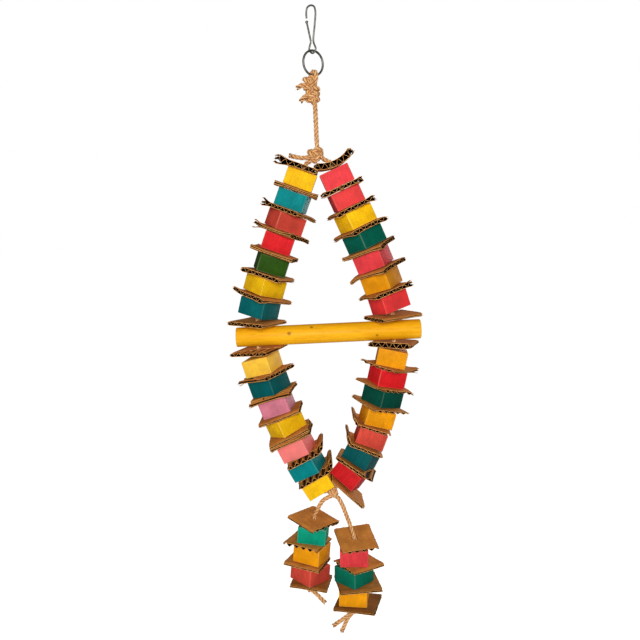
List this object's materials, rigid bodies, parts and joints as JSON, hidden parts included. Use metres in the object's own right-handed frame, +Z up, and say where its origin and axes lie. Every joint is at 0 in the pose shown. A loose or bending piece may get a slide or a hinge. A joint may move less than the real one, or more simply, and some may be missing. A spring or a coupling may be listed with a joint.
{
  "type": "hanging bird chew toy",
  "caption": "Hanging bird chew toy: corrugated card squares and dyed wood blocks on sisal cord form a diamond round a dowel perch, with two tassels, a ring and a wire clip.",
  "frame": {"origin": "inside the top bow of the wire clip, where it hangs", "axes": "+Z up, +X along the perch to the right, -Y towards the viewer"},
  "size_m": [0.1993, 0.0636, 0.6469],
  "materials": {
    "steel": "bent steel wire, worn bright",
    "sisal": "twisted natural fibre cord, fuzzy",
    "strand": "kraft corrugated board on natural fibre cord",
    "kraft": "kraft corrugated board, cut edges open",
    "perch_wood": "dyed smooth dowel",
    "dye_yellow": "dyed soft wood, grain showing",
    "dye_amber": "dyed soft wood, grain showing",
    "dye_teal": "dyed soft wood, grain showing",
    "dye_sea": "dyed soft wood, grain showing",
    "dye_green": "dyed soft wood, grain showing",
    "dye_jade": "dyed soft wood, grain showing",
    "dye_red": "dyed soft wood, grain showing",
    "dye_coral": "dyed soft wood, grain showing",
    "dye_pink": "dyed soft wood, grain showing",
    "dye_mauve": "dyed soft wood, grain showing"
  },
  "bodies": {
    "clip": {"clip_wire": "steel"},
    "gate": {"clip_gate": "steel"},
    "ring": {"steel_ring": "steel"},
    "hanger": {"hanger_cord": "sisal"},
    "upper": {"upper_left_cord": "strand", "upper_right_cord": "strand", "upper_left_card_1": "kraft", "upper_left_card_8": "kraft", "upper_right_card_1": "kraft", "upper_right_card_8": "kraft", "upper_left_block_1": "dye_yellow", "upper_right_block_1": "dye_pink"},
    "perch": {"perch": "perch_wood", "left_perch_cord": "sisal", "right_perch_cord": "sisal"},
    "lower": {"lower_left_cord": "strand", "lower_right_cord": "strand", "lower_left_block_7": "dye_yellow", "lower_right_block_7": "dye_red"},
    "left_tassel": {"left_tassel_cord": "sisal", "left_tassel_card_1": "kraft", "left_tassel_card_2": "kraft", "left_tassel_card_3": "kraft", "left_tassel_card_4": "kraft"},
    "right_tassel": {"right_tassel_cord": "sisal", "right_tassel_card_1": "kraft", "right_tassel_card_2": "kraft", "right_tassel_card_3": "kraft", "right_tassel_card_4": "kraft"},
    "upper_left_block_2": {"upper_left_block_2": "dye_teal"},
    "upper_left_block_3": {"upper_left_block_3": "dye_coral"},
    "upper_left_block_4": {"upper_left_block_4": "dye_red"},
    "upper_left_block_5": {"upper_left_block_5": "dye_green"},
    "upper_left_block_6": {"upper_left_block_6": "dye_yellow"},
    "upper_left_block_7": {"upper_left_block_7": "dye_teal"},
    "upper_right_block_2": {"upper_right_block_2": "dye_red"},
    "upper_right_block_3": {"upper_right_block_3": "dye_yellow"},
    "upper_right_block_4": {"upper_right_block_4": "dye_sea"},
    "upper_right_block_5": {"upper_right_block_5": "dye_pink"},
    "upper_right_block_6": {"upper_right_block_6": "dye_amber"},
    "upper_right_block_7": {"upper_right_block_7": "dye_red"},
    "lower_left_block_1": {"lower_left_block_1": "dye_yellow"},
    "lower_left_block_2": {"lower_left_block_2": "dye_teal"},
    "lower_left_block_3": {"lower_left_block_3": "dye_mauve"},
    "lower_left_block_4": {"lower_left_block_4": "dye_yellow"},
    "lower_left_block_5": {"lower_left_block_5": "dye_pink"},
    "lower_left_block_6": {"lower_left_block_6": "dye_teal"},
    "lower_right_block_1": {"lower_right_block_1": "dye_amber"},
    "lower_right_block_2": {"lower_right_block_2": "dye_red"},
    "lower_right_block_3": {"lower_right_block_3": "dye_sea"},
    "lower_right_block_4": {"lower_right_block_4": "dye_amber"},
    "lower_right_block_5": {"lower_right_block_5": "dye_coral"},
    "lower_right_block_6": {"lower_right_block_6": "dye_teal"},
    "left_tassel_block_1": {"left_tassel_block_1": "dye_jade"},
    "left_tassel_block_2": {"left_tassel_block_2": "dye_amber"},
    "left_tassel_block_3": {"left_tassel_block_3": "dye_coral"},
    "right_tassel_block_1": {"right_tassel_block_1": "dye_pink"},
    "right_tassel_block_2": {"right_tassel_block_2": "dye_jade"},
    "right_tassel_block_3": {"right_tassel_block_3": "dye_amber"}
  },
  "joints": [
    {"name": "clip_gate", "type": "hinge", "parent": "clip", "child": "gate", "pos_m": [-0.00126, 0.00072, -0.0325], "axis": [0.5, 0.866, 0], "range_deg": [0, 18], "stiffness_Nm_per_rad": 0.05},
    {"name": "ring_swing", "type": "hinge", "parent": "clip", "child": "ring", "pos_m": [0, 0, -0.0439], "axis": [0.866, -0.5, 0], "range_deg": [-40, 40]},
    {"name": "hanger_swing", "type": "hinge", "parent": "ring", "child": "hanger", "pos_m": [0, 0, -0.0651], "axis": [0.7986, 0.6018, 0], "range_deg": [-35, 35]},
    {"name": "hanger_twist", "type": "hinge", "parent": "hanger", "child": "upper", "pos_m": [0, 0, -0.147], "axis": [0, 0, 1], "range_deg": [-60, 60]},
    {"name": "perch_roll", "type": "hinge", "parent": "upper", "child": "perch", "pos_m": [0, 0, -0.32091], "axis": [1, 0, 0], "range_deg": [-10, 10]},
    {"name": "lower_swing", "type": "hinge", "parent": "perch", "child": "lower", "pos_m": [0, 0, -0.32091], "axis": [1, 0, 0], "range_deg": [-18, 18]},
    {"name": "left_tassel_swing", "type": "hinge", "parent": "lower", "child": "left_tassel", "pos_m": [0, 0, -0.49884], "axis": [1, 0, 0], "range_deg": [-35, 35]},
    {"name": "right_tassel_swing", "type": "hinge", "parent": "lower", "child": "right_tassel", "pos_m": [0, 0, -0.49884], "axis": [1, 0, 0], "range_deg": [-35, 35]},
    {"name": "spin_upper_left_2", "type": "hinge", "parent": "upper", "child": "upper_left_block_2", "pos_m": [-0.02669, 0, -0.18512], "axis": [0.3822, 0, 0.9241], "continuous": true},
    {"name": "spin_upper_left_3", "type": "hinge", "parent": "upper", "child": "upper_left_block_3", "pos_m": [-0.03517, 0, -0.20573], "axis": [0.3785, 0, 0.9256], "continuous": true},
    {"name": "spin_upper_left_4", "type": "hinge", "parent": "upper", "child": "upper_left_block_4", "pos_m": [-0.04355, 0, -0.22654], "axis": [0.3684, 0, 0.9297], "continuous": true},
    {"name": "spin_upper_left_5", "type": "hinge", "parent": "upper", "child": "upper_left_block_5", "pos_m": [-0.05168, 0, -0.24768], "axis": [0.3486, 0, 0.9373], "continuous": true},
    {"name": "spin_upper_left_6", "type": "hinge", "parent": "upper", "child": "upper_left_block_6", "pos_m": [-0.0593, 0, -0.26931], "axis": [0.3157, 0, 0.9489], "continuous": true},
    {"name": "spin_upper_left_7", "type": "hinge", "parent": "upper", "child": "upper_left_block_7", "pos_m": [-0.06609, 0, -0.2916], "axis": [0.2659, 0, 0.964], "continuous": true},
    {"name": "spin_upper_right_2", "type": "hinge", "parent": "upper", "child": "upper_right_block_2", "pos_m": [0.02669, 0, -0.18512], "axis": [-0.3822, 0, 0.9241], "continuous": true},
    {"name": "spin_upper_right_3", "type": "hinge", "parent": "upper", "child": "upper_right_block_3", "pos_m": [0.03517, 0, -0.20573], "axis": [-0.3785, 0, 0.9256], "continuous": true},
    {"name": "spin_upper_right_4", "type": "hinge", "parent": "upper", "child": "upper_right_block_4", "pos_m": [0.04355, 0, -0.22654], "axis": [-0.3684, 0, 0.9297], "continuous": true},
    {"name": "spin_upper_right_5", "type": "hinge", "parent": "upper", "child": "upper_right_block_5", "pos_m": [0.05168, 0, -0.24768], "axis": [-0.3486, 0, 0.9373], "continuous": true},
    {"name": "spin_upper_right_6", "type": "hinge", "parent": "upper", "child": "upper_right_block_6", "pos_m": [0.0593, 0, -0.26931], "axis": [-0.3157, 0, 0.9489], "continuous": true},
    {"name": "spin_upper_right_7", "type": "hinge", "parent": "upper", "child": "upper_right_block_7", "pos_m": [0.06609, 0, -0.2916], "axis": [-0.2659, 0, 0.964], "continuous": true},
    {"name": "spin_lower_left_1", "type": "hinge", "parent": "lower", "child": "lower_left_block_1", "pos_m": [-0.06645, 0, -0.34977], "axis": [-0.2529, 0, 0.9675], "continuous": true},
    {"name": "spin_lower_left_2", "type": "hinge", "parent": "lower", "child": "lower_left_block_2", "pos_m": [-0.06043, 0, -0.37141], "axis": [-0.2827, 0, 0.9592], "continuous": true},
    {"name": "spin_lower_left_3", "type": "hinge", "parent": "lower", "child": "lower_left_block_3", "pos_m": [-0.05367, 0, -0.39293], "axis": [-0.3169, 0, 0.9485], "continuous": true},
    {"name": "spin_lower_left_4", "type": "hinge", "parent": "lower", "child": "lower_left_block_4", "pos_m": [-0.04609, 0, -0.41424], "axis": [-0.3535, 0, 0.9354], "continuous": true},
    {"name": "spin_lower_left_5", "type": "hinge", "parent": "lower", "child": "lower_left_block_5", "pos_m": [-0.03583, 0, -0.43923], "axis": [-0.4112, 0, 0.9115], "range_deg": [-5, 5]},
    {"name": "spin_lower_left_6", "type": "hinge", "parent": "lower", "child": "lower_left_block_6", "pos_m": [-0.02604, 0, -0.45974], "axis": [-0.4508, 0, 0.8926], "range_deg": [-5, 5]},
    {"name": "spin_lower_right_1", "type": "hinge", "parent": "lower", "child": "lower_right_block_1", "pos_m": [0.06664, 0, -0.34856], "axis": [0.2421, 0, 0.9702], "continuous": true},
    {"name": "spin_lower_right_2", "type": "hinge", "parent": "lower", "child": "lower_right_block_2", "pos_m": [0.06152, 0, -0.36884], "axis": [0.2472, 0, 0.969], "continuous": true},
    {"name": "spin_lower_right_3", "type": "hinge", "parent": "lower", "child": "lower_right_block_3", "pos_m": [0.05608, 0, -0.38935], "axis": [0.2664, 0, 0.9639], "continuous": true},
    {"name": "spin_lower_right_4", "type": "hinge", "parent": "lower", "child": "lower_right_block_4", "pos_m": [0.04984, 0, -0.41017], "axis": [0.3088, 0, 0.9511], "range_deg": [-5, 5]},
    {"name": "spin_lower_right_5", "type": "hinge", "parent": "lower", "child": "lower_right_block_5", "pos_m": [0.04209, 0, -0.43123], "axis": [0.3822, 0, 0.9241], "range_deg": [-5, 5]},
    {"name": "spin_lower_right_6", "type": "hinge", "parent": "lower", "child": "lower_right_block_6", "pos_m": [0.03188, 0, -0.45224], "axis": [0.4919, 0, 0.8707], "continuous": true},
    {"name": "spin_left_tassel_1", "type": "hinge", "parent": "left_tassel", "child": "left_tassel_block_1", "pos_m": [-0.02261, 0, -0.53367], "axis": [0.1219, 0, 0.9925], "range_deg": [-5, 5]},
    {"name": "spin_left_tassel_2", "type": "hinge", "parent": "left_tassel", "child": "left_tassel_block_2", "pos_m": [-0.02534, 0, -0.5559], "axis": [0.1219, 0, 0.9925], "continuous": true},
    {"name": "spin_left_tassel_3", "type": "hinge", "parent": "left_tassel", "child": "left_tassel_block_3", "pos_m": [-0.02807, 0, -0.57814], "axis": [0.1219, 0, 0.9925], "continuous": true},
    {"name": "spin_right_tassel_1", "type": "hinge", "parent": "right_tassel", "child": "right_tassel_block_1", "pos_m": [0.01944, 0, -0.56046], "axis": [0.0349, 0, 0.9994], "range_deg": [-5, 5]},
    {"name": "spin_right_tassel_2", "type": "hinge", "parent": "right_tassel", "child": "right_tassel_block_2", "pos_m": [0.01866, 0, -0.58285], "axis": [0.0349, 0, 0.9994], "continuous": true},
    {"name": "spin_right_tassel_3", "type": "hinge", "parent": "right_tassel", "child": "right_tassel_block_3", "pos_m": [0.01788, 0, -0.60524], "axis": [0.0349, 0, 0.9994], "continuous": true}
  ]
}
